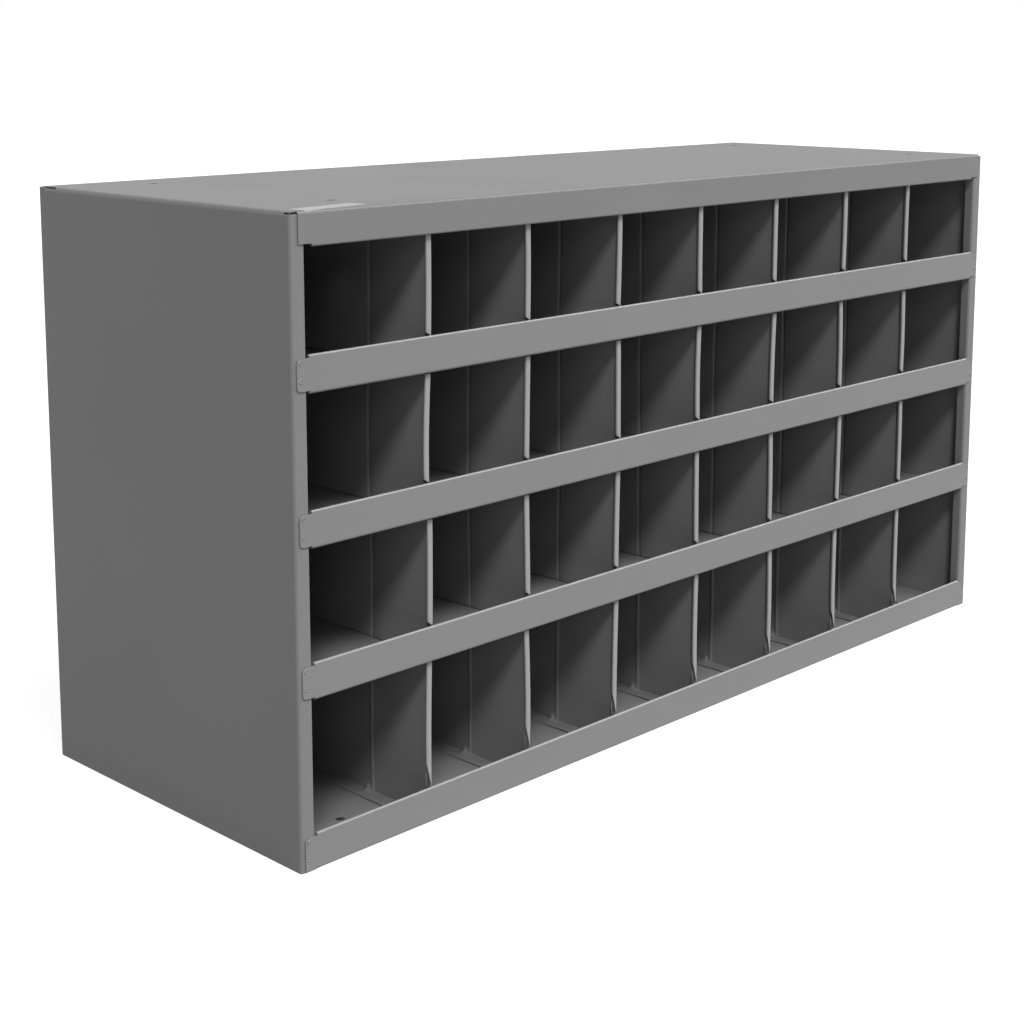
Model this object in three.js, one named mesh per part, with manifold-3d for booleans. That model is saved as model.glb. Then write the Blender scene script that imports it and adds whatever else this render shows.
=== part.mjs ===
// Welded sheet-steel pigeonhole unit: a casing folded from one sheet, a back panel, a bottom pan,
// three shelves and four rows of dividers, all spot welded. Millimetres, +Z up, front towards -Y,
// origin at the middle of the footprint.
import * as THREE from "three";
import { mergeVertices } from "three/addons/utils/BufferGeometryUtils.js";
import Module from "manifold-3d";

const wasm = await Module();
wasm.setup();

// Overall size
const WIDTH = 857.25;
const DEPTH = 304.8;
const HEIGHT = 454;

// Pigeonholes: end columns are wider than the rest, and the top and bottom rows take what the middle rows leave
const COLUMNS = 8;
const ROWS = 4;
const END_COLUMN = 123.825;
const MIDDLE_ROW = 105.6;

// Sheet and folding
const CASING_SHEET = 0.9;
const TRAY_SHEET = 0.9;
const BACK_SHEET = 0.9;
const DIVIDER_SHEET = 0.6;
const WELD_GAP = 0.1; // paint film between two lapped sheets
const BEND_RADIUS = 1.2; // inside radius of a folded corner
const TOP_BEND_RADIUS = 3; // softer bend along the casing's two long top edges
const DIVIDER_BEND_RADIUS = 0.6; // where the rolled edge's leg turns
const BEND_STEP = Math.PI / 6; // a bend is drawn in steps of this angle
const HEM_GAP = 0.8; // open space inside a flattened hem
const HEM_DEPTH = 8;

// Casing
const STILE_WIDTH = 12.5;
const STILE_RETURN = 9;
const REAR_FLANGE = 14;
const RAIL_HEIGHT = 23.7;
const RAIL_END_INSET = 6.6;
const RAIL_HEM_INSET = 18;
const CORNER_RELIEF = 1;
const STILE_TOP_GAP = 2.3; // from the stile's flat face up to the top of the casing

// Bolt holes through the casing's top and the bottom pan, for stacking
const HOLE_DIAMETER = 7;
const HOLE_FROM_LEFT = 76.2;
const HOLE_FROM_RIGHT = 51;
const HOLE_FROM_FRONT = 51;
const HOLE_FROM_BACK = 40;
const HOLE_SIDES = 16;

// Trays: the bottom pan and the shelves
const LIP_HEIGHT = 26.5;
const TAB_END_INSET = 3.5;
const TAB_SETBACK = 2; // a tab is this much narrower than its lip at top and bottom
const TAB_CORNER = 3;
const TAB_FOOT_GAP = 0.3; // the bottom pan's tabs end just above the ground
const TRAY_FLANGE = 15;
const NOTCH_CLEARANCE = 1.5; // round the casing's stiles

// Dividers
const DIVIDER_CLEARANCE = 1.4; // behind the hems of lips and rail
const DIVIDER_END_CLEARANCE = 0.3; // in front of the bends of the trays' rear flanges
const DIVIDER_FLANGE = 8.6;
const FLANGE_SETBACK = 2; // from the end of the rolled edge's leg in front, and from the rear edge
const ROLL_WIDTH = 5;
const ROLL_SHANK = 0.8; // straight stretch between the roll and its leg
const ROLL_LEG = 3.7;
const ROLL_MOUTH = 0.4; // open slit between the leg's end and the sheet
const ROLL_NOTCH = 2.6; // the front edge steps back this much where it isn't rolled
const ROLL_TAPER = 6; // the roll's free side is cut away slantwise over this length at its ends
const BOTTOM_ROLL_TAPER = 35; // the same at the foot of the bottom row's dividers
const RIB_FROM_FRONT = 70;
const RIB_WIDTH = 6.5;
const RIB_DEPTH = 1.4;
const RIB_RADIUS = 1.5;

// Faces that several pieces share
const FRONT = -DEPTH / 2;
const BACK = DEPTH / 2;
const SIDE = WIDTH / 2;
const STILE_FRONT = FRONT + Math.max(CASING_SHEET, TRAY_SHEET) + WELD_GAP;
const STILE_BACK = STILE_FRONT + STILE_RETURN;
const STILE_TOP = HEIGHT - CASING_SHEET - TOP_BEND_RADIUS - CORNER_RELIEF;
const BACK_PANEL_REAR = BACK - CASING_SHEET - WELD_GAP;
const TRAY_REAR = BACK_PANEL_REAR - BACK_SHEET - WELD_GAP;
const HEM_RADIUS = HEM_GAP / 2;
const HEM_BACK = FRONT + 2 * Math.max(CASING_SHEET, TRAY_SHEET) + HEM_GAP;
const DIVIDER_FRONT = HEM_BACK + DIVIDER_CLEARANCE;
const DIVIDER_REAR = TRAY_REAR - TRAY_SHEET - BEND_RADIUS - DIVIDER_END_CLEARANCE;
const END_ROW = (HEIGHT - (ROWS - 2) * MIDDLE_ROW) / 2;
const DIVIDER_PITCH = (WIDTH - 2 * END_COLUMN) / (COLUMNS - 2);

const X = new THREE.Vector3(1, 0, 0);
const Y = new THREE.Vector3(0, 1, 0);
const Z = new THREE.Vector3(0, 0, 1);

/** Outline of a folded sheet seen edge-on. Corners are [u, v, inside radius] on its middle plane. */
function foldedSheet(corners, thickness) {
  const origin = new THREE.Vector2();
  const leftOf = (way) => new THREE.Vector2(-way.y, way.x);
  const points = corners.map(([u, v]) => new THREE.Vector2(u, v));
  const left = [];
  const right = [];
  const put = (point, normal) => {
    const outer = point.clone().addScaledVector(normal, thickness / 2);
    if (left.length && outer.distanceTo(left.at(-1)) < thickness / 1000) return;
    left.push(outer);
    right.unshift(point.clone().addScaledVector(normal, -thickness / 2));
  };
  points.forEach((corner, i) => {
    const into = i > 0 && corner.clone().sub(points[i - 1]).normalize();
    const away = i < points.length - 1 && points[i + 1].clone().sub(corner).normalize();
    if (!into || !away) {
      put(corner, leftOf(into || away));
      return;
    }
    const radius = corners[i][2] + thickness / 2;
    const turn = Math.atan2(into.cross(away), into.dot(away));
    const side = Math.sign(turn);
    const start = corner.clone().addScaledVector(into, -radius * Math.tan(Math.abs(turn) / 2));
    const centre = start.addScaledVector(leftOf(into), radius * side);
    const steps = Math.max(1, Math.round(Math.abs(turn) / BEND_STEP));
    for (let step = 0; step <= steps; step++) {
      const normal = leftOf(into).rotateAround(origin, (turn * step) / steps);
      put(centre.clone().addScaledVector(normal, -radius * side), normal);
    }
  });
  return new THREE.Shape([...left, ...right]);
}

/** A closed geometry as a solid that can be joined and cut. */
function solid(geometry) {
  geometry.deleteAttribute("normal");
  geometry.deleteAttribute("uv");
  const merged = mergeVertices(geometry, 1e-4);
  return new wasm.Manifold(
    new wasm.Mesh({
      numProp: 3,
      vertProperties: merged.attributes.position.array,
      triVerts: new Uint32Array(merged.index.array),
    }),
  );
}

/** Solid of a shape drawn on two axes and carried along the third. */
function carried(shape, across, up, from, to) {
  const along = new THREE.Vector3().crossVectors(across, up);
  const place = new THREE.Matrix4().makeBasis(across, up, along);
  place.setPosition(along.clone().multiplyScalar(from));
  const geometry = new THREE.ExtrudeGeometry(shape, { depth: to - from, bevelEnabled: false });
  return solid(geometry.applyMatrix4(place));
}

// Shapes carried along X are drawn on (y, z), along Y on (z, x) and along Z on (x, y)
const alongX = (shape, from, to) => carried(shape, Y, Z, from, to);
const alongY = (shape, from, to) => carried(shape, Z, X, from, to);
const alongZ = (shape, from, to) => carried(shape, X, Y, from, to);
const outline = (points) => new THREE.Shape(points.map(([u, v]) => new THREE.Vector2(u, v)));
const join = (solids) => solids.reduce((whole, piece) => whole.add(piece));

/** The four bolt holes as upright pins from one height to another. */
function boltHoles(from, to) {
  const pin = new THREE.Shape();
  pin.absarc(0, 0, HOLE_DIAMETER / 2, 0, 2 * Math.PI);
  const ring = new THREE.Shape(pin.getSpacedPoints(HOLE_SIDES).slice(0, -1));
  const rows = [FRONT + HOLE_FROM_FRONT, BACK - HOLE_FROM_BACK];
  const columns = [-SIDE + HOLE_FROM_LEFT, SIDE - HOLE_FROM_RIGHT];
  const pins = rows.flatMap((y) => columns.map((x) => alongZ(ring, from, to).translate([x, y, 0])));
  return join(pins);
}

/** Top and both sides of one bent sheet, with stiles, rail and rear flanges folded from its edges. */
function casing() {
  const sheet = CASING_SHEET;
  const sideX = SIDE - sheet / 2;
  const topZ = HEIGHT - sheet / 2;
  const railY = FRONT + sheet / 2;
  const stileY = STILE_FRONT + sheet / 2;
  const rearY = BACK - sheet / 2;
  const wrap = alongY(
    foldedSheet(
      [[0, -sideX], [topZ, -sideX, TOP_BEND_RADIUS], [topZ, sideX, TOP_BEND_RADIUS], [0, sideX]],
      sheet,
    ),
    STILE_FRONT + sheet + BEND_RADIUS,
    BACK - sheet - BEND_RADIUS,
  );
  const stiles = [-1, 1].map((hand) => {
    const outer = hand * (SIDE - sheet - BEND_RADIUS);
    const inner = hand * (SIDE - STILE_WIDTH + sheet + BEND_RADIUS);
    const top = HEIGHT - STILE_TOP_GAP;
    const foot = STILE_TOP - STILE_WIDTH;
    const face = outline([[foot, outer], [top, outer], [top, inner], [foot, inner]]);
    return alongY(face, STILE_FRONT, STILE_FRONT + sheet);
  });
  const sides = [-1, 1].map((hand) => {
    const stileX = hand * (SIDE - STILE_WIDTH + sheet / 2);
    const corners = [
      [hand * (SIDE - REAR_FLANGE), rearY],
      [hand * sideX, rearY, BEND_RADIUS],
      [hand * sideX, stileY, BEND_RADIUS],
      [stileX, stileY, BEND_RADIUS],
      [stileX, STILE_BACK],
    ];
    return alongZ(foldedSheet(corners, sheet), 0, STILE_TOP);
  });
  const railEnd = SIDE - RAIL_END_INSET;
  const railFoot = HEIGHT - RAIL_HEIGHT + TAB_SETBACK;
  const rail = alongX(
    foldedSheet([[0, topZ], [railY, topZ, BEND_RADIUS], [railY, railFoot]], sheet),
    -railEnd,
    railEnd,
  );
  const hemEnd = SIDE - RAIL_HEM_INSET;
  const hemZ = HEIGHT - RAIL_HEIGHT + sheet / 2;
  const legY = railY + 2 * HEM_RADIUS + sheet;
  const hemCorners = [
    [railY, HEIGHT - RAIL_HEIGHT / 2],
    [railY, hemZ, HEM_RADIUS],
    [legY, hemZ, HEM_RADIUS],
    [legY, hemZ + HEM_DEPTH],
  ];
  const railHem = alongX(foldedSheet(hemCorners, sheet), -hemEnd, hemEnd);
  const rearEnd = SIDE - REAR_FLANGE - CORNER_RELIEF;
  const rearFlange = alongX(
    foldedSheet([[0, topZ], [rearY, topZ, BEND_RADIUS], [rearY, HEIGHT - REAR_FLANGE]], sheet),
    -rearEnd,
    rearEnd,
  );
  const whole = join([wrap, ...sides, ...stiles, rail, railHem, rearFlange]);
  return whole.subtract(boltHoles(HEIGHT - 2 * sheet, HEIGHT + sheet));
}

/** Flat panel lying against the casing's rear flanges, inside their bends. */
function backPanel() {
  const halfWidth = SIDE - CASING_SHEET - BEND_RADIUS - WELD_GAP;
  const top = HEIGHT - CASING_SHEET - BEND_RADIUS - WELD_GAP;
  const panel = outline([[0, -halfWidth], [top, -halfWidth], [top, halfWidth], [0, halfWidth]]);
  return alongY(panel, BACK_PANEL_REAR - BACK_SHEET, BACK_PANEL_REAR);
}

/**
 * A lip's end tab, which laps over the stile: a flat plate with two rounded outer corners. A grounded tab,
 * on the bottom pan, runs down to a square corner at the foot, and a nick parts it from the lip's bend.
 */
function lipTab(hand, foot, lipEnd, grounded) {
  const inner = lipEnd - TAB_CORNER;
  const outer = SIDE - TAB_END_INSET;
  const low = foot + TAB_SETBACK;
  const high = foot + LIP_HEIGHT - TAB_SETBACK;
  const tab = new THREE.Shape();
  tab.moveTo(low, hand * inner);
  if (grounded) {
    tab.lineTo(low, hand * (lipEnd + CORNER_RELIEF));
    tab.lineTo(foot + TAB_FOOT_GAP, hand * (lipEnd + CORNER_RELIEF));
    tab.lineTo(foot + TAB_FOOT_GAP, hand * outer);
  } else {
    tab.lineTo(low, hand * (outer - TAB_CORNER));
    tab.quadraticCurveTo(low, hand * outer, low + TAB_CORNER, hand * outer);
  }
  tab.lineTo(high - TAB_CORNER, hand * outer);
  tab.quadraticCurveTo(high, hand * outer, high, hand * (outer - TAB_CORNER));
  tab.lineTo(high, hand * inner);
  const cornerSteps = 3;
  return alongY(outline(tab.getPoints(cornerSteps).map(({ x, y }) => [x, y])), FRONT, FRONT + TRAY_SHEET);
}

/** Floor with a hemmed lip in front, upturned flanges at both ends and behind, and lapping tabs. */
function tray(foot, grounded) {
  const sheet = TRAY_SHEET;
  const floorZ = foot + sheet / 2;
  const flangeZ = foot + TRAY_FLANGE;
  const lipY = FRONT + sheet / 2;
  const legY = lipY + 2 * HEM_RADIUS + sheet;
  const hemZ = foot + LIP_HEIGHT - sheet / 2;
  const rearY = TRAY_REAR - sheet / 2;
  const endX = SIDE - CASING_SHEET - WELD_GAP - sheet / 2;
  const lipEnd = SIDE - STILE_WIDTH - NOTCH_CLEARANCE;
  const channelCorners = [
    [rearY, flangeZ],
    [rearY, floorZ, BEND_RADIUS],
    [lipY, floorZ, BEND_RADIUS],
    [lipY, hemZ, HEM_RADIUS],
    [legY, hemZ, HEM_RADIUS],
    [legY, hemZ - HEM_DEPTH],
  ];
  const channel = alongX(foldedSheet(channelCorners, sheet), -lipEnd, lipEnd);
  const endCorners = [
    [flangeZ, -endX],
    [floorZ, -endX, BEND_RADIUS],
    [floorZ, endX, BEND_RADIUS],
    [flangeZ, endX],
  ];
  const ends = alongY(
    foldedSheet(endCorners, sheet),
    STILE_BACK + NOTCH_CLEARANCE,
    TRAY_REAR - sheet - BEND_RADIUS,
  );
  const tabs = [-1, 1].map((hand) => lipTab(hand, foot, lipEnd, grounded));
  return join([channel, ends, ...tabs]);
}

/** Upright sheet between two cells: front edge rolled to the left, pressed rib, flanges at foot and head.
 *  hand is the side that rib and flanges turn to. The roll runs from rollFoot, where it tapers, to rollHead. */
function divider({ centre, foot, head, rollFoot, rollHead, taper, hand }) {
  const sheet = DIVIDER_SHEET;
  const reach = ROLL_WIDTH - sheet;
  const sheetX = centre + reach / 2;
  const rollX = sheetX - reach;
  const rollY = DIVIDER_FRONT + sheet / 2;
  const rollRadius = reach / 2 - sheet / 2;
  const shankEnd = DIVIDER_FRONT + ROLL_WIDTH / 2 + ROLL_SHANK;
  const legEnd = shankEnd + ROLL_LEG;
  const ribY = FRONT + RIB_FROM_FRONT;
  const planCorners = [
    [sheetX - sheet - ROLL_MOUTH, legEnd],
    [rollX, shankEnd, DIVIDER_BEND_RADIUS],
    [rollX, rollY, rollRadius],
    [sheetX, rollY, rollRadius],
    [sheetX, ribY - RIB_WIDTH / 2, RIB_RADIUS],
    [sheetX + hand * RIB_DEPTH, ribY, RIB_RADIUS],
    [sheetX, ribY + RIB_WIDTH / 2, RIB_RADIUS],
    [sheetX, DIVIDER_REAR],
  ];
  const web = alongZ(foldedSheet(planCorners, sheet), foot + sheet / 2, head - sheet / 2);
  const flangeX = sheetX + hand * (DIVIDER_FLANGE - sheet / 2);
  const flanges = [foot, head - sheet].map((low) => {
    const high = low + sheet;
    const strip = outline([[low, sheetX], [high, sheetX], [high, flangeX], [low, flangeX]]);
    return alongY(strip, legEnd + FLANGE_SETBACK, DIVIDER_REAR - FLANGE_SETBACK);
  });
  const whole = join([web, ...flanges]);
  const outside = DIVIDER_FRONT - sheet;
  const left = rollX - sheet;
  const mouth = sheetX - (sheet + ROLL_MOUTH) / 2;
  const ends = [[foot, rollFoot, taper], [head, rollHead, -ROLL_TAPER]];
  return ends.reduce((piece, [edge, stop, slant]) => {
    if (edge === stop) return piece;
    const beyond = edge - Math.sign(slant) * sheet;
    const step = outline([[beyond, left], [stop, left], [stop, sheetX + sheet], [beyond, sheetX + sheet]]);
    const wedge = outline([[beyond, left], [stop + slant, left], [stop, mouth], [beyond, mouth]]);
    const edgeCut = alongY(step, outside, DIVIDER_FRONT + ROLL_NOTCH);
    const rollCut = alongY(wedge, outside, legEnd + sheet);
    return piece.subtract(edgeCut).subtract(rollCut);
  }, whole);
}

const greyEnamel = { color: "#7d7e80", roughness: 0.5, metalness: 0.1 };
const shadedEnamel = { color: "#767779", roughness: 0.55, metalness: 0.1 };
const unit = new THREE.Group();

/** Adds a solid to the unit as a named mesh with its own material. */
function add(name, piece, finish) {
  const { vertProperties, triVerts } = piece.getMesh();
  const geometry = new THREE.BufferGeometry();
  geometry.setAttribute("position", new THREE.BufferAttribute(vertProperties, 3));
  geometry.setIndex(new THREE.BufferAttribute(triVerts, 1));
  geometry.computeVertexNormals();
  const mesh = new THREE.Mesh(geometry, new THREE.MeshStandardMaterial(finish));
  mesh.name = name;
  unit.add(mesh);
}

add("casing_wrap", casing(), greyEnamel);
add("back_panel", backPanel(), shadedEnamel);

// Rows are counted from the top, and each stands on the tray of its own name
const feet = Array.from({ length: ROWS }, (_, row) => (
  row === ROWS - 1 ? 0 : END_ROW + (ROWS - 2 - row) * MIDDLE_ROW
));
feet.forEach((foot, row) => {
  const bottom = row === ROWS - 1;
  const floor = tray(foot, bottom);
  const drilled = bottom ? floor.subtract(boltHoles(-TRAY_SHEET, 2 * TRAY_SHEET)) : floor;
  add(bottom ? "bottom_pan" : `shelf_row${row + 1}`, drilled, greyEnamel);
});

// The bottom row's dividers have their ribs and flanges on the other hand
feet.forEach((foot, row) => {
  const top = row === 0;
  const bottom = row === ROWS - 1;
  const head = (top ? HEIGHT - CASING_SHEET : feet[row - 1]) - WELD_GAP;
  for (let column = 1; column < COLUMNS; column++) {
    const piece = divider({
      centre: (column - COLUMNS / 2) * DIVIDER_PITCH,
      foot: foot + TRAY_SHEET + WELD_GAP,
      head,
      rollFoot: foot + LIP_HEIGHT - HEM_GAP,
      rollHead: top ? HEIGHT - RAIL_HEIGHT + HEM_GAP : head,
      taper: bottom ? BOTTOM_ROLL_TAPER : ROLL_TAPER,
      hand: bottom ? -1 : 1,
    });
    add(`divider_row${row + 1}_${column}`, piece, shadedEnamel);
  }
});

export default unit;
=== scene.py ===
import bmesh
import bpy
import numpy as np
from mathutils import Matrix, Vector


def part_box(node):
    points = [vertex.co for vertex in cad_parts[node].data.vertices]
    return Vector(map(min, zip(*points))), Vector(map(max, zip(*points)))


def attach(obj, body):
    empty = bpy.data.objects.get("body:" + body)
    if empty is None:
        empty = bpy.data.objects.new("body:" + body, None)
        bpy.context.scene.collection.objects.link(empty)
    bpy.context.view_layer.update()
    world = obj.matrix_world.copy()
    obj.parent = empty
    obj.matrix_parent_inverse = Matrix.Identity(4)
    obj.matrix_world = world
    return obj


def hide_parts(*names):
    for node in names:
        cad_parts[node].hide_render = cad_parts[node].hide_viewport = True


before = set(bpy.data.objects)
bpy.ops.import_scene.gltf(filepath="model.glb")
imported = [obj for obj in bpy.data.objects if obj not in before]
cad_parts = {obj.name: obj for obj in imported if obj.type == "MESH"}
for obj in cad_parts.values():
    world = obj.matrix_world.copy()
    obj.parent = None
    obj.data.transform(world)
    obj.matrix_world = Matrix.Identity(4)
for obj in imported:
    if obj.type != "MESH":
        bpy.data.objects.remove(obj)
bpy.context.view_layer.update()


# Casing: the top and both sides of the unit are one sheet of cold-rolled steel, bent over two long edges.
# The front stiles, the hemmed rail and the rear flanges are folded from the same sheet, and the corners
# between them are slit open for the bends. Four holes are punched through the top for stacking.
MM = 0.001
SHEET = 0.9
WELD_GAP = 0.1
BEND_RADIUS = 1.2
TOP_BEND_RADIUS = 3.0
BEND_STEP = np.radians(11.25)
BEND_HOLD = 0.8
LEG_STEP = 40.0
EDGE_ROUNDING = 0.15
EDGE_SEGMENTS = 2
SHARP_ANGLE = np.radians(50)
NEAR = 0.001
SEAM = 0.02
HEM_RADIUS = 0.4
HEM_DEPTH = 8.0
STILE_WIDTH = 12.5
STILE_RETURN = 9.0
STILE_TIP_GAP = 1.75
FRONT_SLIT = 5.0
FRONT_SLIT_DROP = (1.2, 1.7)
CORNER_RELIEF = 1.0
REAR_FLANGE = 14.0
REAR_TIP_GAP = 0.4
REAR_TIP_DEPTH = 7.5
REAR_SLIT = 12.0
REAR_SLIT_DROP = (0.6, 1.2)
RAIL_HEIGHT = 23.7
RAIL_END_INSET = 6.6
RAIL_HEM_INSET = 18.0
RAIL_STEP_UP = 2.0
HOLE_RADIUS = 3.5
HOLE_FROM_LEFT = 76.2
HOLE_FROM_RIGHT = 51.0
HOLE_FROM_FRONT = 51.0
HOLE_FROM_BACK = 40.0
HOLE_SQUARE = 6.0
HOLE_CELLS = 6
COLLAR_SLIDE = (0, 0.5, 0.85, 1)
CLOUD_SIZE = 110.0
PEEL_SIZE = 1.6
PEEL_DEPTH = 0.1
PEEL_STRENGTH = 0.12
COAT_ROUGHNESS = (0.20, 0.28)


def box_mm(node):
    """Lowest and highest corner of a node of the frame, in millimetres."""
    return [np.array(corner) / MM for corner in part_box(node)]


def fold(*corners, sheet=SHEET, step=LEG_STEP):
    """Middle line of a folded sheet seen edge-on. A corner (u, v, inside radius) is an arc that touches
    both straight legs, and a corner (u, v) is an end of the line or a mark on a leg. Legs have a point
    close to each end, which keeps the flats flat, and one every step between."""
    spots = np.array([corner[:2] for corner in corners], float)
    bends = []
    for i, corner in enumerate(corners):
        if len(corner) == 2:
            bends.append(spots[i:i + 1])
            continue
        into, away = spots[i] - spots[i - 1], spots[i + 1] - spots[i]
        into, away = into / np.linalg.norm(into), away / np.linalg.norm(away)
        left = np.array([-into[1], into[0]])
        turn = np.arctan2(left @ away, into @ away)
        radius = np.copysign(corner[2] + sheet / 2, turn)
        start = spots[i] - into * radius * np.tan(turn / 2)
        angle = np.linspace(0, turn, int(np.ceil(abs(turn) / BEND_STEP)) + 1)[:, None]
        bends.append(start + radius * (left - np.cos(angle) * left + np.sin(angle) * into))
    line = bends[:1]
    for before, after in zip(bends, bends[1:]):
        leg = np.linalg.norm(after[0] - before[-1])
        share = np.linspace(0, 1, int(np.ceil(leg / step)) + 1)[1:-1]
        if leg > 4 * BEND_HOLD:
            share = np.unique(np.r_[BEND_HOLD / leg, share, 1 - BEND_HOLD / leg])
        line += [before[-1] + share[:, None] * (after[0] - before[-1]), after]
    line = np.concatenate(line)
    apart = np.linalg.norm(np.diff(line, axis=0), axis=1) > NEAR
    return line[np.r_[True, apart]]


def stations(marks, step=LEG_STEP):
    """The marks in order, with even steps between them that are no longer than step."""
    marks = np.unique(np.round(marks, 4))
    runs = [np.linspace(a, b, int(np.ceil((b - a) / step)) + 1)[:-1] for a, b in zip(marks, marks[1:])]
    return np.concatenate([*runs, marks[-1:]])


def carry(line, places, axes):
    """Grid of points: a line drawn on the first two axes, carried along the third through the places."""
    u, v, along = ("xyz".index(axis) for axis in axes)
    grid = np.empty((len(line), len(places), 3))
    grid[..., u] = line[:, :1]
    grid[..., v] = line[:, 1:]
    grid[..., along] = places
    return grid


def between(values, low, high):
    """The values from low to high, both ends taken in."""
    return values[(values > low - NEAR) & (values < high + NEAR)]


def mirrored(grid):
    """The same grid on the other side of the unit's middle plane."""
    return grid * [-1, 1, 1]


def square_lines(centre):
    """Places of the grid lines through a hole's square, along one axis."""
    return centre + HOLE_SQUARE * np.linspace(-1, 1, HOLE_CELLS + 1)


def punch(grid, holes, height):
    """Empties the hole squares of a flat grid, and returns collars that fill each square round its hole:
    a collar's points slide straight from the square's edge to the circle."""
    edge = np.linspace(-1, 1, HOLE_CELLS + 1)[:-1]
    one = np.ones_like(edge)
    turns = [[edge, -one], [one, edge], [-edge, one], [-one, -edge]]
    square = HOLE_SQUARE * np.concatenate([np.stack(turn, 1) for turn in turns])
    square = np.concatenate([square, square[:1]])
    circle = HOLE_RADIUS * square / np.linalg.norm(square, axis=1, keepdims=True)
    slide = np.array(COLLAR_SLIDE)[:, None, None]
    collars = []
    for hole in holes:
        in_square = (abs(grid[..., :2] - hole) < HOLE_SQUARE - NEAR).all(-1)
        grid[in_square & (abs(grid[..., 2] - height) < NEAR)] = np.nan
        flat = hole + square + slide * (circle - square)
        collars.append(np.dstack([flat, np.full(flat.shape[:2], height)]))
    return collars


def sewn(name, grids):
    """Object made of point grids that are sewn where their edges meet. Cells that touch an emptied point
    stay open."""
    points = np.concatenate([grid.reshape(-1, 3) for grid in grids])
    cells, first = [], 0
    for grid in grids:
        index = first + np.arange(grid[..., 0].size).reshape(grid.shape[:2])
        ring = [index[:-1, :-1], index[1:, :-1], index[1:, 1:], index[:-1, 1:]]
        cells.append(np.stack(ring, -1).reshape(-1, 4))
        first += index.size
    cells = np.concatenate(cells)
    cells = cells[np.isfinite(points[cells]).all((1, 2))]
    used, cells = np.unique(cells, return_inverse=True)
    mesh = bpy.data.meshes.new(name)
    mesh.from_pydata((points[used] * MM).tolist(), [], cells.reshape(-1, 4).tolist())
    seams = bmesh.new()
    seams.from_mesh(mesh)
    bmesh.ops.remove_doubles(seams, verts=seams.verts, dist=SEAM * MM)
    bmesh.ops.recalc_face_normals(seams, faces=seams.faces)
    seams.to_mesh(mesh)
    seams.free()
    mesh.shade_smooth()
    piece = bpy.data.objects.new(name, mesh)
    bpy.context.scene.collection.objects.link(piece)
    return piece


def sheet_piece(name, grids, thickness):
    """Sewn grids as the middle surface of a sheet, which gets its thickness to both sides."""
    piece = sewn(name, grids)
    wall = piece.modifiers.new("sheet thickness", "SOLIDIFY")
    wall.thickness = thickness * MM
    wall.offset = 0
    edge = piece.modifiers.new("rounded sheared edges", "BEVEL")
    edge.width = EDGE_ROUNDING * MM
    edge.segments = EDGE_SEGMENTS
    edge.limit_method = "ANGLE"
    edge.angle_limit = SHARP_ANGLE
    edge.use_clamp_overlap = False
    edge.harden_normals = True
    return piece


casing_low, casing_high = box_mm("casing_wrap")
SIDE = casing_high[0]
FRONT = casing_low[1]
BACK = casing_high[1]
HEIGHT = casing_high[2]
STILE_FRONT = FRONT + SHEET + WELD_GAP
STILE_BACK = STILE_FRONT + STILE_RETURN
BEND_FOOT = HEIGHT - SHEET - TOP_BEND_RADIUS
STILE_TOP = BEND_FOOT - CORNER_RELIEF

side_x = SIDE - SHEET / 2
stile_x = SIDE - STILE_WIDTH + SHEET / 2
top_z = HEIGHT - SHEET / 2
rail_y = FRONT + SHEET / 2
rear_y = BACK - SHEET / 2
web_front = STILE_FRONT + SHEET + BEND_RADIUS
web_rear = BACK - SHEET - BEND_RADIUS
rail_end = SIDE - RAIL_END_INSET
hem_end = SIDE - RAIL_HEM_INSET
rear_end = SIDE - REAR_FLANGE - CORNER_RELIEF
rear_tip_y = web_rear - REAR_TIP_DEPTH
hole_columns = [HOLE_FROM_LEFT - SIDE, SIDE - HOLE_FROM_RIGHT]
hole_rows = [FRONT + HOLE_FROM_FRONT, BACK - HOLE_FROM_BACK]
bolt_holes = [(x, y) for x in hole_columns for y in hole_rows]

hole_lines_x = np.concatenate([square_lines(x) for x in hole_columns])
hole_lines_y = np.concatenate([square_lines(y) for y in hole_rows])
top_marks = np.unique([-rail_end, -hem_end, -rear_end, *hole_lines_x, rear_end, hem_end, rail_end])
wrap_line = fold(
    (-side_x, 0),
    (-side_x, STILE_TOP),
    (-side_x, top_z, TOP_BEND_RADIUS),
    *[(x, top_z) for x in top_marks],
    (side_x, top_z, TOP_BEND_RADIUS),
    (side_x, STILE_TOP),
    (side_x, 0),
)
slit_ends = [web_front + FRONT_SLIT, rear_tip_y - REAR_SLIT]
wrap_y = stations([web_front, *slit_ends, *hole_lines_y, rear_tip_y, web_rear])
wrap = carry(wrap_line, wrap_y, "xzy")
collars = punch(wrap, bolt_holes, top_z)

# Both top bends are slit at the front and at the rear, and behind the rear slits they are cut away, where the
# sides run up in tips instead.
slits = [
    (web_front, FRONT_SLIT_DROP),
    (rear_tip_y, REAR_SLIT_DROP),
    (web_rear, (REAR_SLIT_DROP[0], HEIGHT - BEND_FOOT - NEAR)),
]
drop = HEIGHT - wrap_line[:, 1]
for y, (least, most) in slits:
    wrap[(drop > least) & (drop < most), np.argmin(abs(wrap_y - y))] = np.nan

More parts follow.
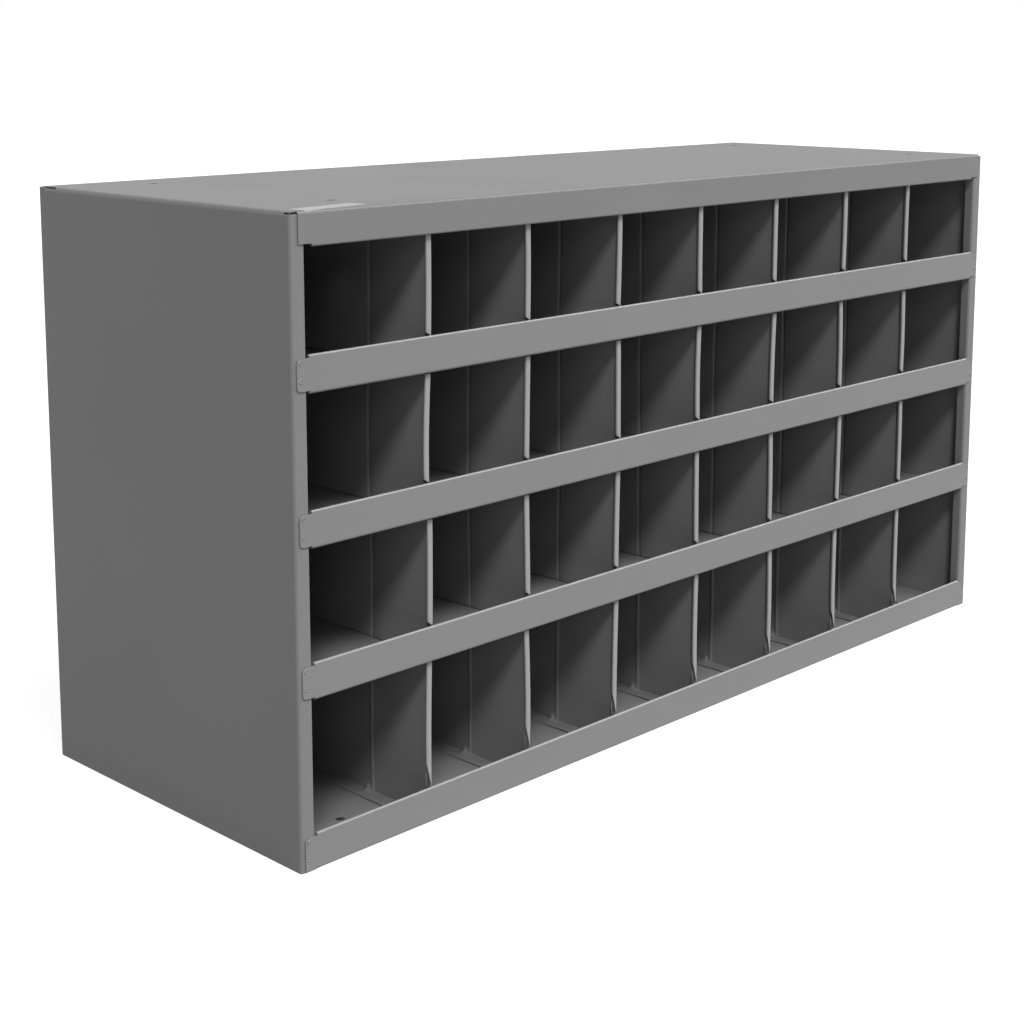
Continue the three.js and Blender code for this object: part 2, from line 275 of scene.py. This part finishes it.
side_z = between(wrap_line[wrap_line[:, 0] < NEAR - side_x, 1], 0, STILE_TOP)
top_x = wrap_line[wrap_line[:, 1] > top_z - NEAR, 0]
stile_line = fold(
    (-side_x, web_front),
    (-side_x, STILE_FRONT + SHEET / 2, BEND_RADIUS),
    (-stile_x, STILE_FRONT + SHEET / 2, BEND_RADIUS),
    (-stile_x, STILE_BACK),
)
side_flange_line = fold((-side_x, web_rear), (-side_x, rear_y, BEND_RADIUS), (REAR_FLANGE - SIDE, rear_y))
stile = carry(stile_line, side_z, "xyz")
flat = np.flatnonzero(abs(stile_line[:, 1] - STILE_FRONT - SHEET / 2) < NEAR)
stile_tip = carry(stile_line[:flat[-1] + 1], [STILE_TOP, BEND_FOOT, HEIGHT - STILE_TIP_GAP], "xyz")
side_flange = carry(side_flange_line, side_z, "xyz")
rear_tip = carry(side_flange_line, [STILE_TOP, BEND_FOOT, HEIGHT - REAR_TIP_GAP], "xyz")
side_tip_line = np.array([(-side_x, rear_tip_y), (-side_x, web_rear)])
side_tip = carry(side_tip_line, [BEND_FOOT, HEIGHT - REAR_TIP_GAP], "xyz")

rail_foot = HEIGHT - RAIL_HEIGHT + RAIL_STEP_UP
hem_z = HEIGHT - RAIL_HEIGHT + SHEET / 2
hem_y = rail_y + 2 * HEM_RADIUS + SHEET
rail_line = fold((web_front, top_z), (rail_y, top_z, BEND_RADIUS), (rail_y, rail_foot))
rail_hem_line = fold(
    (rail_y, rail_foot),
    (rail_y, hem_z, HEM_RADIUS),
    (hem_y, hem_z, HEM_RADIUS),
    (hem_y, hem_z + HEM_DEPTH),
)
top_flange_line = fold((web_rear, top_z), (rear_y, top_z, BEND_RADIUS), (rear_y, HEIGHT - REAR_FLANGE))
casing = sheet_piece(
    "casing_sheet",
    [
        wrap,
        *collars,
        stile,
        mirrored(stile),
        stile_tip,
        mirrored(stile_tip),
        side_flange,
        mirrored(side_flange),
        rear_tip,
        mirrored(rear_tip),
        side_tip,
        mirrored(side_tip),
        carry(rail_line, between(top_x, -rail_end, rail_end), "yzx"),
        carry(rail_hem_line, between(top_x, -hem_end, hem_end), "yzx"),
        carry(top_flange_line, between(top_x, -rear_end, rear_end), "yzx"),
    ],
    SHEET,
)


def linear(code):
    """Scene-linear RGBA of an sRGB hex colour."""
    srgb = np.array([int(code[i:i + 2], 16) for i in (1, 3, 5)]) / 255
    return (*np.where(srgb > 0.04045, ((srgb + 0.055) / 1.055) ** 2.4, srgb / 12.92), 1)


def add(tree, kind, inputs, **settings):
    """Adds one node to a node tree, with its settings, and its inputs set to values or linked to sockets."""
    made = tree.nodes.new(kind)
    for name, value in settings.items():
        setattr(made, name, value)
    for name, value in inputs.items():
        if isinstance(value, bpy.types.NodeSocket):
            tree.links.new(value, made.inputs[name])
        else:
            made.inputs[name].default_value = value
    return made


def baked_enamel(name, light, dark, shine=0.3):
    """Grey baking enamel sprayed on steel sheet: a satin film with fine orange peel, which breaks up the
    shine, and a faint cloudiness where the spray passes overlapped."""
    finish = bpy.data.materials.new(name)
    finish.use_nodes = True
    tree = finish.node_tree
    shader = tree.nodes["Principled BSDF"]
    where = add(tree, "ShaderNodeTexCoord", {}).outputs["Object"]
    clouds = add(tree, "ShaderNodeTexNoise", {"Vector": where, "Scale": 1 / (CLOUD_SIZE * MM), "Detail": 3})
    tint = add(
        tree,
        "ShaderNodeMix",
        {"Factor": clouds.outputs["Fac"], "A": linear(light), "B": linear(dark)},
        data_type="RGBA",
    )
    peel = add(tree, "ShaderNodeTexNoise", {"Vector": where, "Scale": 1 / (PEEL_SIZE * MM), "Detail": 2})
    bump = add(
        tree,
        "ShaderNodeBump",
        {"Height": peel.outputs["Fac"], "Strength": PEEL_STRENGTH, "Distance": PEEL_DEPTH * MM},
    )
    gloss = add(
        tree,
        "ShaderNodeMapRange",
        {"Value": clouds.outputs["Fac"], "To Min": COAT_ROUGHNESS[0], "To Max": COAT_ROUGHNESS[1]},
    )
    tree.links.new(tint.outputs["Result"], shader.inputs["Base Color"])
    tree.links.new(gloss.outputs["Result"], shader.inputs["Coat Roughness"])
    tree.links.new(bump.outputs["Normal"], shader.inputs["Normal"])
    tree.links.new(bump.outputs["Normal"], shader.inputs["Coat Normal"])
    shader.inputs["Specular IOR Level"].default_value = 0
    shader.inputs["Coat Weight"].default_value = shine
    return finish


def fit(piece, node, finish):
    """Gives a piece its finish, and puts it in the place of a node of the frame."""
    piece.data.materials.append(finish)
    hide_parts(node)
    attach(piece, "root")


casing_enamel = baked_enamel("grey baked enamel, casing", "#858585", "#7f7f7f")
fit(casing, "casing_wrap", casing_enamel)


# Back panel: one flat sheet that lies against the inner faces of the casing's rear flanges, spot welded
# to them all round.
panel_low, panel_high = box_mm("back_panel")
panel_x = stations([panel_low[0], panel_high[0]])
panel_z = stations([panel_low[2], panel_high[2]])
panel_line = np.stack([panel_x, np.full_like(panel_x, (panel_low[1] + panel_high[1]) / 2)], 1)
back_panel = sheet_piece("back_sheet", [carry(panel_line, panel_z, "xyz")], SHEET)
fit(back_panel, "back_panel", baked_enamel("grey baked enamel, back", "#828282", "#7c7c7c"))


# Trays: three shelves and the bottom pan. Each is one sheet with a hemmed lip folded up in front and
# plain flanges at both ends and behind. The lip runs on in two flat tabs, which lap over the stiles. A
# highlight is painted lighter into the enamel along the crest of its hem.
LIP_TAB_INSET = 3.5
TAB_SETBACK = 2.2
TAB_CORNER = 3.0
TAB_LINES = 9
TAB_FOOT_GAP = 0.3
TRAY_FLANGE = 15.0
NOTCH_CLEARANCE = 1.5
TRAY_PAINT = ("#868686", "#808080", 0.55)
# Painted highlight: the lighter grey painted along hem crests and bead fronts, and how far below a lip's top
# it starts and is full.
HIGHLIGHT_GREY = "#a0a0a0"
HEM_HIGHLIGHT = (1.1, 0.35)
TRAYS = ["shelf_row1", "shelf_row2", "shelf_row3", "bottom_pan"]


def flat_grid(x, y, z):
    """Level grid of points over all pairs of x and y."""
    return carry(np.stack([x, np.full_like(x, z)], 1), y, "xzy")


def lip_tab(start, end, low, high, square_foot):
    """Flat tab from start to end along x. Its top sinks towards the end along a quarter circle, and its
    foot rises in the same way unless it is square."""
    x = np.unique(np.r_[start, start + CORNER_RELIEF, np.linspace(end - TAB_CORNER, end, TAB_LINES)])
    inset = TAB_CORNER - np.sqrt(TAB_CORNER ** 2 - np.clip(x - end + TAB_CORNER, 0, None) ** 2)[:, None]
    bottom = low + (0 if square_foot else inset)
    z = bottom + np.linspace(0, 1, TAB_LINES) * (high - inset - bottom)
    return np.dstack([x[:, None] + 0 * z, rail_y + 0 * z, z])


def paint_highlight(finish, axis, start, full):
    """Paints a highlight into an enamel's colour along one axis, none at start and strongest at full."""
    tree = finish.node_tree
    shader = tree.nodes["Principled BSDF"]
    where = add(tree, "ShaderNodeTexCoord", {}).outputs["Object"]
    place = add(tree, "ShaderNodeSeparateXYZ", {"Vector": where}).outputs[axis]
    highlight_mask = add(tree, "ShaderNodeMapRange", {"Value": place, "From Min": start * MM, "From Max": full * MM})
    sprayed = shader.inputs["Base Color"].links[0].from_socket
    tint = add(
        tree,
        "ShaderNodeMix",
        {"Factor": highlight_mask.outputs["Result"], "A": sprayed, "B": linear(HIGHLIGHT_GREY)},
        data_type="RGBA",
    )
    tree.links.new(tint.outputs["Result"], shader.inputs["Base Color"])


bend = BEND_RADIUS + SHEET / 2
end_x = SIDE - SHEET - WELD_GAP - SHEET / 2
tray_rear_y = BACK - 2 * SHEET - 2 * WELD_GAP - SHEET / 2
lip_end = SIDE - STILE_WIDTH - NOTCH_CLEARANCE
notch_y = STILE_BACK + NOTCH_CLEARANCE
floor_x = stations([bend - end_x, -lip_end, *hole_lines_x, lip_end, end_x - bend])
floor_y = stations([rail_y + bend, notch_y, *hole_lines_y, tray_rear_y - bend])
lip_x = between(floor_x, -lip_end, lip_end)
wing_y = between(floor_y, notch_y, BACK)
for node in TRAYS:
    tray_low, tray_high = box_mm(node)
    foot, lip_top = tray_low[2], tray_high[2]
    floor_z = foot + SHEET / 2
    tab_low, tab_high = foot + TAB_SETBACK, lip_top - TAB_SETBACK
    floor = flat_grid(lip_x, floor_y, floor_z)
    wing = flat_grid(between(floor_x, -SIDE, -lip_end), wing_y, floor_z)
    lip_line = fold(
        (floor_y[0], floor_z),
        (rail_y, floor_z, BEND_RADIUS),
        *[(rail_y, z) for z in np.linspace(tab_low, tab_high, TAB_LINES)],
        (rail_y, lip_top - SHEET / 2, HEM_RADIUS),
        (hem_y, lip_top - SHEET / 2, HEM_RADIUS),
        (hem_y, lip_top - SHEET / 2 - HEM_DEPTH),
    )
    rear_line = fold(
        (floor_y[-1], floor_z),
        (tray_rear_y, floor_z, BEND_RADIUS),
        (tray_rear_y, foot + TRAY_FLANGE),
    )
    end_line = fold((floor_x[0], floor_z), (-end_x, floor_z, BEND_RADIUS), (-end_x, foot + TRAY_FLANGE))
    end_flange = carry(end_line, wing_y, "xzy")
    grounded = node == "bottom_pan"
    tab = lip_tab(lip_end, SIDE - LIP_TAB_INSET, tab_low, tab_high, grounded)
    collars, skirts = [], []
    if grounded:
        collars = punch(floor, bolt_holes, floor_z)
        skirt = carry(tab[1:, 0, :2], [foot + TAB_FOOT_GAP, tab_low], "xyz")
        skirts = [skirt, mirrored(skirt)]
    tray = sheet_piece(
        node + "_sheet",
        [
            floor,
            *collars,
            wing,
            mirrored(wing),
            carry(lip_line, lip_x, "yzx"),
            carry(rear_line, lip_x, "yzx"),
            end_flange,
            mirrored(end_flange),
            tab,
            mirrored(tab),
            *skirts,
        ],
        SHEET,
    )
    tray_enamel = baked_enamel(f"grey baked enamel, {node}", *TRAY_PAINT)
    # Painted highlight along the crest of the lip's hem.
    paint_highlight(tray_enamel, "Z", *(lip_top - np.array(HEM_HIGHLIGHT)))
    fit(tray, node, tray_enamel)


# Dividers: thinner sheets between the pigeonholes. The front edge is rolled to the left into a flat bead,
# an upright rib is pressed in behind it, and flanges at foot and head are spot welded to the trays. The
# bottom row's ribs and flanges are on the other hand. None stands quite true. A highlight is painted
# on the beads' fronts.
COLUMNS = 8
DIVIDER_SHEET = 0.6
DIVIDER_BEND_RADIUS = 0.6
DIVIDER_FLANGE = 8.6
FLANGE_REACH = 13.5
FLANGE_SETBACK = 9.0
FLANGE_ROOT = 0.25
FLANGE_LINES = 6
ROLL_WIDTH = 5.0
ROLL_DEPTH = 1.8
ROLL_CORNER = 0.5
ROLL_LEG = 3.7
ROLL_MOUTH = 0.4
ROLL_NOTCH = 2.6
ROLL_SAMPLES = 40
ROLL_TAPER = 6.0
BOTTOM_ROLL_TAPER = 35.0
ROLL_CUTS = 13
ROLL_LEAST = 0.2
ROLL_HEAD_GAP = 0.2
# Painted highlight on the bead fronts: how far behind the front it starts and is full.
ROLL_HIGHLIGHT = (1.1, 0.35)
RIB_FROM_FRONT = 70.0
RIB_WIDTH = 4.8
RIB_DEPTH = 1.2
RIB_LINES = 15
DART_BEHIND = 4.5
DART_RADIUS = 3.5
DART_RISE = 2.4
DART_LINES = 1.0
DART_UP = 2.5
DART_ALONG = 2.0
FLANGE_LIFT = 0.7
FLANGE_WELDS = 90.0
ROLL_KNEE = (0.45, 0.5)
BARB_START = 0.58
BARB_HEIGHT = 10.0
BARB_WIDTH = 0.95
BARB_LINES = 12
WEB_STEP = 6.0
DEPTH_STEP = 15.0
LEAN = 1.6
BOW = 1.5
HEM_CLEARANCE = 0.8


def rolled_edge(front, share):
    """Plan of the rolled edge: (x, y) at shares of its developed length, which runs from the flat sheet
    round the roll to the free edge of its leg."""
    reach = ROLL_WIDTH - DIVIDER_SHEET
    roll_y = front + DIVIDER_SHEET / 2
    leg_y = front + ROLL_DEPTH
    line = fold(
        (0, front + ROLL_NOTCH),
        (0, roll_y, ROLL_CORNER),
        (-reach, roll_y, ROLL_CORNER),
        (-reach, leg_y, ROLL_CORNER / 2),
        (-DIVIDER_SHEET - ROLL_MOUTH, leg_y + ROLL_LEG),
        sheet=DIVIDER_SHEET,
    )
    along = np.r_[0, np.cumsum(np.linalg.norm(np.diff(line, axis=0), axis=1))]
    return np.stack([np.interp(share * along[-1], along, line[:, i]) for i in (0, 1)], -1)


def rib_rise(y):
    """Height of the pressed rib above the sheet: one raised cosine over the rib's width."""
    off = np.clip((y - FRONT - RIB_FROM_FRONT) / (RIB_WIDTH / 2), -1, 1)
    return RIB_DEPTH * (1 + np.cos(np.pi * off)) / 2


def divider_grids(low, high, hand, roll_foot, roll_head, taper, dart_rise, sway):
    """Grids of one divider: the flanged sheet, its stretch in front of the flanges, and the rolled edge,
    whose end is cut slantwise. A long cut leaves a barb of the roll's leg standing. The rib is raised on
    the flanges' side and dies out across them. A domed dart may be raised in each bend behind it, and the
    flanges spring up between welds. Sway is how far the front edge stands off at foot, head and middle."""
    foot, head = low[2] + DIVIDER_SHEET / 2, high[2] - DIVIDER_SHEET / 2
    front, rear = low[1], high[1]
    flange_x = hand * (FLANGE_REACH - DIVIDER_SHEET / 2)
    sheet_x = high[0] - (DIVIDER_FLANGE if hand > 0 else DIVIDER_SHEET) + DIVIDER_SHEET / 2
    bend = DIVIDER_BEND_RADIUS + DIVIDER_SHEET / 2
    cuts = np.r_[np.linspace(roll_foot, roll_foot + taper, ROLL_CUTS), roll_head]
    marks = between(cuts, foot, head - bend)
    flange = flange_x * np.linspace(1, FLANGE_ROOT, FLANGE_LINES)
    near_bend = np.arange(bend + DART_LINES, DART_UP * DART_RADIUS, DART_LINES)
    marks = np.unique([*(foot + near_bend), *marks, *(head - near_bend)])
    section = fold(
        *[(x, foot) for x in flange],
        (0, foot, DIVIDER_BEND_RADIUS),
        *[(0, z) for z in marks],
        (0, head, DIVIDER_BEND_RADIUS),
        *[(x, head) for x in flange[::-1]],
        sheet=DIVIDER_SHEET,
        step=WEB_STEP,
    )
    rib_middle = FRONT + RIB_FROM_FRONT
    rib_y = rib_middle + RIB_WIDTH / 2 * np.linspace(-1, 1, RIB_LINES)
    dart_half = DART_ALONG * DART_RADIUS
    dart_y = rib_middle + DART_BEHIND + np.arange(-dart_half, dart_half + NEAR, DART_LINES)
    marks_y = [front + ROLL_NOTCH, front + FLANGE_SETBACK, *rib_y, *dart_y[dart_y > rib_y[-1]], rear]
    y = stations(marks_y, DEPTH_STEP)
    out = section[:, 0] / flange_x
    rise, drop = section[:, 1] - foot, head - section[:, 1]
    into = np.where(rise < drop, 1, -1)[:, None]
    flanged = carry(section, between(y, front + FLANGE_SETBACK, rear), "xzy")
    along = flanged[0, :, 1]
    rib = np.outer(1 - out, rib_rise(along))
    dart_fall = np.exp(-(np.hypot(section[:, 0], np.minimum(rise, drop)) / DART_RADIUS) ** 2)
    dart = dart_rise * np.outer(dart_fall, np.exp(-((along - rib_middle - DART_BEHIND) / DART_RADIUS) ** 2))
    spring = FLANGE_LIFT * np.outer(out ** 2, np.sin(np.pi * (along - front) / FLANGE_WELDS) ** 2)
    flanged[..., 0] += hand * (rib + dart)
    flanged[..., 2] += into * (dart + spring)
    web_z = section[abs(section[:, 0]) < NEAR, 1]
    fore = carry(np.stack([0 * web_z, web_z], 1), between(y, front, front + FLANGE_SETBACK), "xzy")
    roll_z = between(web_z, roll_foot, roll_head)
    share = np.interp((roll_z - roll_foot) / taper, [0, ROLL_KNEE[0], 1], [ROLL_LEAST, ROLL_KNEE[1], 1])
    around = np.linspace(0, 1, ROLL_SAMPLES)[:, None] * share
    roll = np.dstack([rolled_edge(front, around), roll_z + 0 * around])
    grids = [flanged, fore, roll]
    if taper > ROLL_TAPER:
        across = np.linspace(0, BARB_WIDTH, BARB_LINES)[:, None]
        barb_z = roll_foot + BARB_HEIGHT * (1 - across) * np.linspace(0, 1, BARB_LINES)
        leg = BARB_START + (1 - BARB_START) * across + 0 * barb_z
        grids.append(np.dstack([rolled_edge(front, leg), barb_z]))
    for grid in grids:
        height = (grid[..., 2] - foot) / (head - foot)
        stand_off = sway[0] * (1 - height) + sway[1] * height + sway[2] * np.sin(np.pi * height)
        grid[..., 0] += sheet_x + stand_off * (rear - grid[..., 1]) / (rear - front)
    return grids


divider_enamel = baked_enamel("grey baked enamel, dividers", "#828282", "#7c7c7c")
# Painted highlight on the front of every bead.
paint_highlight(divider_enamel, "Y", *(box_mm("divider_row1_1")[0][1] + np.array(ROLL_HIGHLIGHT)))
chance = np.random.default_rng(7)
for row, tray_node in enumerate(TRAYS, 1):
    bottom = tray_node == "bottom_pan"
    lip_top = box_mm(tray_node)[1][2]
    for column in range(1, COLUMNS):
        node = f"divider_row{row}_{column}"
        low, high = box_mm(node)
        grids = divider_grids(
            low,
            high,
            -1 if bottom else 1,
            lip_top - HEM_CLEARANCE,
            HEIGHT - RAIL_HEIGHT - ROLL_HEAD_GAP if row == 1 else high[2],
            BOTTOM_ROLL_TAPER if bottom else ROLL_TAPER,
            DART_RISE if bottom else 0,
            chance.uniform(-1, 1, 3) * [LEAN, LEAN, BOW],
        )
        divider = sheet_piece(f"divider_sheet_row{row}_{column}", grids, DIVIDER_SHEET)
        fit(divider, node, divider_enamel)


# Spot welds: round craters that the electrodes leave, two on each lip tab in front, and rows of them behind
# on the casing's rear flanges and along each tray's rear flange. They are painted over with the sheet.
TAB_WELD_RADIUS = 1.7
TAB_WELD_INSET = 3.1
TAB_WELD_RISE = 6.9
TAB_WELD_DROP = 2.5
REAR_WELD_RADIUS = 2.5
WELD_RIDGE = 0.45
WELD_RIDGE_AT = 0.68
WELD_RIDGE_WIDTH = 0.18
WELD_RIM_DIP = 0.1
WELD_RIM_POWER = 8
WELD_RINGS = 11
WELD_SPOKES = 25
WELD_PITCH = 75.0
WELDS_ACROSS = 11
WELDS_UP = 6


def weld_marks(name, centres, radius, facing):
    """Marks on upright faces: a polar grid round each (x, y, z), with a bell-shaped ridge round a flat
    middle and a rim that dips into the sheet. Facing is -1 for the front and 1 for the back."""
    ring = np.linspace(0, 1, WELD_RINGS)[:, None]
    turn = np.linspace(0, 2 * np.pi, WELD_SPOKES)
    ridge = WELD_RIDGE * np.exp(-((ring - WELD_RIDGE_AT) / WELD_RIDGE_WIDTH) ** 2)
    ridge = ridge - WELD_RIM_DIP * ring ** WELD_RIM_POWER + WELD_RIM_DIP / 3
    across, up = radius * ring * np.cos(turn), radius * ring * np.sin(turn)
    crater = np.dstack([across, facing * ridge + 0 * turn, up])
    return sewn(name, [crater + centre for centre in centres])


tab_weld_x = SIDE - LIP_TAB_INSET - TAB_WELD_INSET
row_x = (np.arange(WELDS_ACROSS) - (WELDS_ACROSS - 1) / 2) * WELD_PITCH
tab_welds, rear_welds = [], []
for node in TRAYS:
    foot, lip_top = box_mm(node)[0][2], box_mm(node)[1][2]
    for z in (foot + TAB_SETBACK + TAB_WELD_RISE, lip_top - TAB_SETBACK - TAB_WELD_DROP):
        tab_welds += [(x, FRONT, z) for x in (-tab_weld_x, tab_weld_x)]
    rear_welds += [(x, panel_high[1], foot + TRAY_FLANGE / 2) for x in row_x]
rear_welds += [(x, BACK, HEIGHT - REAR_FLANGE / 2) for x in row_x]
for z in (np.arange(WELDS_UP) + 0.5) * WELD_PITCH:
    rear_welds += [(x, BACK, z) for x in (REAR_FLANGE / 2 - SIDE, SIDE - REAR_FLANGE / 2)]
front_marks = weld_marks("spot_welds_front", tab_welds, TAB_WELD_RADIUS, -1)
front_marks.data.materials.append(baked_enamel("grey baked enamel, tab welds", *TRAY_PAINT))
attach(front_marks, "root")
rear_marks = weld_marks("spot_welds_back", rear_welds, REAR_WELD_RADIUS, 1)
rear_marks.data.materials.append(casing_enamel)
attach(rear_marks, "root")


# Label: a blank coated-paper sticker on the top, near the front left corner. It was put on askew, so that
# its left front corner is rubbed down over the bend to the front rail.
LABEL_CENTRE = (-387.0, -140.6)
LABEL_SIZE = (60.0, 17.0)
LABEL_CORNER = 2.0
LABEL_TURN = np.radians(7.0)
LABEL_THICKNESS = 0.1
LABEL_LINES = (33, 25)

label_x = LABEL_SIZE[0] / 2 * np.sin(np.linspace(-np.pi / 2, np.pi / 2, LABEL_LINES[0]))[:, None]
label_reach = np.clip(abs(label_x) - LABEL_SIZE[0] / 2 + LABEL_CORNER, 0, None)
label_half = LABEL_SIZE[1] / 2 - LABEL_CORNER + np.sqrt(LABEL_CORNER ** 2 - label_reach ** 2)
label_y = np.linspace(-1, 1, LABEL_LINES[1]) * label_half
label_flat = LABEL_CENTRE[1] + label_x * np.sin(LABEL_TURN) + label_y * np.cos(LABEL_TURN)
label_bend = BEND_RADIUS + SHEET + LABEL_THICKNESS
label_angle = np.clip(FRONT + BEND_RADIUS + SHEET - label_flat, 0, None) / label_bend
label_grid = np.dstack([
    LABEL_CENTRE[0] + label_x * np.cos(LABEL_TURN) - label_y * np.sin(LABEL_TURN),
    label_flat + label_bend * (label_angle - np.sin(label_angle)),
    HEIGHT + LABEL_THICKNESS - label_bend * (1 - np.cos(label_angle)),
])
label = sewn("blank_label", [label_grid])

# Smooth paper, which reads as a strip a little lighter and warmer than the paint round it.
label_paper = bpy.data.materials.new("coated paper, blank, faint warm white")
label_paper.use_nodes = True
label_shader = label_paper.node_tree.nodes["Principled BSDF"]
label_shader.inputs["Base Color"].default_value = linear("#9d9b96")
label_shader.inputs["Roughness"].default_value = 0.4
label.data.materials.append(label_paper)
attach(label, "root")


# Studio: a white floor and background and four softboxes, with the camera where the photograph was taken
# from. The floor and the background are white to the camera and in the paint's shine, but the light that
# they throw on the unit is that of a dim room with a grey floor.
FLOOR_HALF = 40.0
FLOOR_DROP = 0.2
SHADE_INSET = 20.0
FLOOR_GREY = "#a8a8a8"
SHADE_GREY = "#303030"
FLOOR_GLOW = 0.8
SKY_FELT = 0.09
CAMERA_PLACE = (-1.1596, -1.0746, 0.5625)
CAMERA_LOOK = (0.70319, 0.69379, -0.15548)
CAMERA_LENS = 63.91
CAMERA_SENSOR = 36.0
CAMERA_SHIFT = -0.18


def seen_straight(tree):
    """Socket that is 1 for what the camera sees straight, in a mirror or through glass, and 0 for light."""
    path = add(tree, "ShaderNodeLightPath", {})
    mirrors = add(
        tree,
        "ShaderNodeMath",
        {0: path.outputs["Is Glossy Ray"], 1: path.outputs["Is Transmission Ray"]},
        operation="MAXIMUM",
    )
    eye = add(
        tree,
        "ShaderNodeMath",
        {0: path.outputs["Is Camera Ray"], 1: mirrors.outputs["Value"]},
        operation="MAXIMUM",
    )
    return eye.outputs["Value"]


corners = np.array([[-1, -1, 0], [1, -1, 0], [1, 1, 0], [-1, 1, 0]])
floor_points = FLOOR_HALF * corners - [0, 0, FLOOR_DROP * MM]
floor_mesh = bpy.data.meshes.new("studio_floor")
floor_mesh.from_pydata(floor_points.tolist(), [], [[0, 1, 2, 3]])
studio_floor = bpy.data.objects.new("studio_floor", floor_mesh)
bpy.context.scene.collection.objects.link(studio_floor)

# Matt paper that glows to the eye, so that the unit stands on white with only a faint shadow.
paper = bpy.data.materials.new("matt white studio paper")
paper.use_nodes = True
paper_shader = paper.node_tree.nodes["Principled BSDF"]
paper_shader.inputs["Base Color"].default_value = linear(FLOOR_GREY)
paper_shader.inputs["Roughness"].default_value = 0.9
paper_glow = add(
    paper.node_tree,
    "ShaderNodeMath",
    {0: seen_straight(paper.node_tree), 1: FLOOR_GLOW},
    operation="MULTIPLY",
)
paper.node_tree.links.new(paper_glow.outputs["Value"], paper_shader.inputs["Emission Strength"])
paper_shader.inputs["Emission Color"].default_value = (1, 1, 1, 1)
floor_mesh.materials.append(paper)

shade_points = (corners * [SIDE - SHADE_INSET, BACK - SHADE_INSET, 0] - [0, 0, FLOOR_DROP / 2]) * MM
shade_mesh = bpy.data.meshes.new("studio_shade")
shade_mesh.from_pydata(shade_points.tolist(), [], [[0, 1, 2, 3]])
shade = bpy.data.objects.new("studio_shade", shade_mesh)
bpy.context.scene.collection.objects.link(shade)

# Painted shade: a dark sheet under the unit, where only shade falls, so that the floor's glow doesn't
# shine up through the holes of the bottom pan.
dark = bpy.data.materials.new("painted shade under the unit")
dark.use_nodes = True
dark_shader = dark.node_tree.nodes["Principled BSDF"]
dark_shader.inputs["Base Color"].default_value = linear(SHADE_GREY)
dark_shader.inputs["Roughness"].default_value = 0.9
shade_mesh.materials.append(dark)

world = bpy.data.worlds.new("studio")
bpy.context.scene.world = world
world.use_nodes = True
sky = world.node_tree.nodes["Background"]
sky.inputs["Color"].default_value = (1, 1, 1, 1)
sky_strength = add(
    world.node_tree,
    "ShaderNodeMapRange",
    {"Value": seen_straight(world.node_tree), "To Min": SKY_FELT, "To Max": 1.0},
)
world.node_tree.links.new(sky_strength.outputs["Result"], sky.inputs["Strength"])


def softbox(name, azimuth, elevation, strength, spread):
    """Distant soft light. Azimuth is from straight in front towards the right, and spread is how wide the
    softbox looks from the unit, all in degrees. Strength 1 lights a sheet that faces it at its own colour."""
    turn, rise = np.radians([azimuth, elevation])
    lamp = bpy.data.lights.new(name, "SUN")
    lamp.energy = np.pi * strength
    lamp.angle = np.radians(spread)
    light = bpy.data.objects.new(name, lamp)
    toward = Vector((np.sin(turn) * np.cos(rise), -np.cos(turn) * np.cos(rise), np.sin(rise)))
    light.rotation_euler = toward.to_track_quat("Z", "Y").to_euler()
    bpy.context.scene.collection.objects.link(light)


softbox("left softbox", -45, 45, 0.35, 11)
softbox("low left softbox", -40, 22, 0.07, 20)
softbox("overhead softbox", 0, 58, 0.52, 30)
softbox("right softbox", 60, 32, 0.50, 30)

camera = bpy.data.objects.new("camera", bpy.data.cameras.new("camera"))
camera.location = CAMERA_PLACE
camera.rotation_euler = Vector(CAMERA_LOOK).to_track_quat("-Z", "Y").to_euler()
camera.data.lens = CAMERA_LENS
camera.data.sensor_width = CAMERA_SENSOR
camera.data.shift_y = CAMERA_SHIFT
bpy.context.scene.collection.objects.link(camera)
bpy.context.scene.camera = camera
bpy.context.scene.view_settings.view_transform = "Standard"
